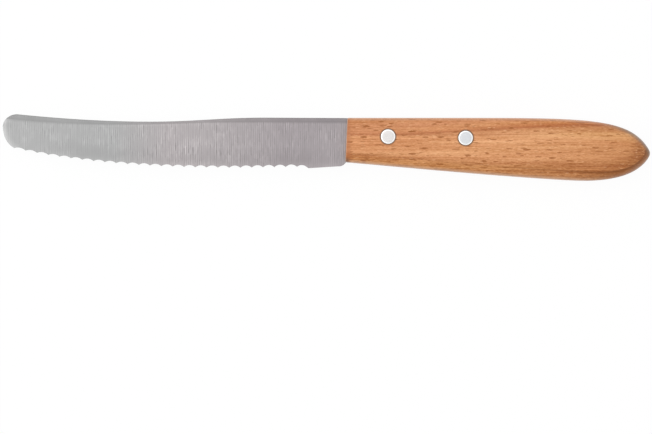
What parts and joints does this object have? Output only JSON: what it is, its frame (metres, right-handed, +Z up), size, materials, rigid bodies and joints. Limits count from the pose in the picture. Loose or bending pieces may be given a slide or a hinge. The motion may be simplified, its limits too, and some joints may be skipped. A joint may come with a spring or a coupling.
{
  "type": "serrated table knife",
  "caption": "Round-nosed table knife: a thin wavy-edged steel blade with a half tang, riveted into the saw slot of a one-piece wooden handle with a rounded butt.",
  "frame": {"origin": "centre of the knife's outline, at the height of the surface that it lies on", "axes": "+X from the nose of the blade to the butt of the handle, +Y from the edge to the spine, +Z up through the thickness, out of the show face"},
  "size_m": [0.217, 0.0222, 0.0105],
  "materials": {
    "blade_steel": "fine cross-ground, with the grinding lines running from spine to edge",
    "handle_beech": "sanded and oiled beech, satin",
    "rivet_aluminium": "ground flush and lightly polished"
  },
  "bodies": {
    "root": {"blade": "blade_steel", "handle": "handle_beech", "front_rivet_pin": "rivet_aluminium", "front_rivet_sleeve": "rivet_aluminium", "rear_rivet_pin": "rivet_aluminium", "rear_rivet_sleeve": "rivet_aluminium"}
  },
  "joints": []
}
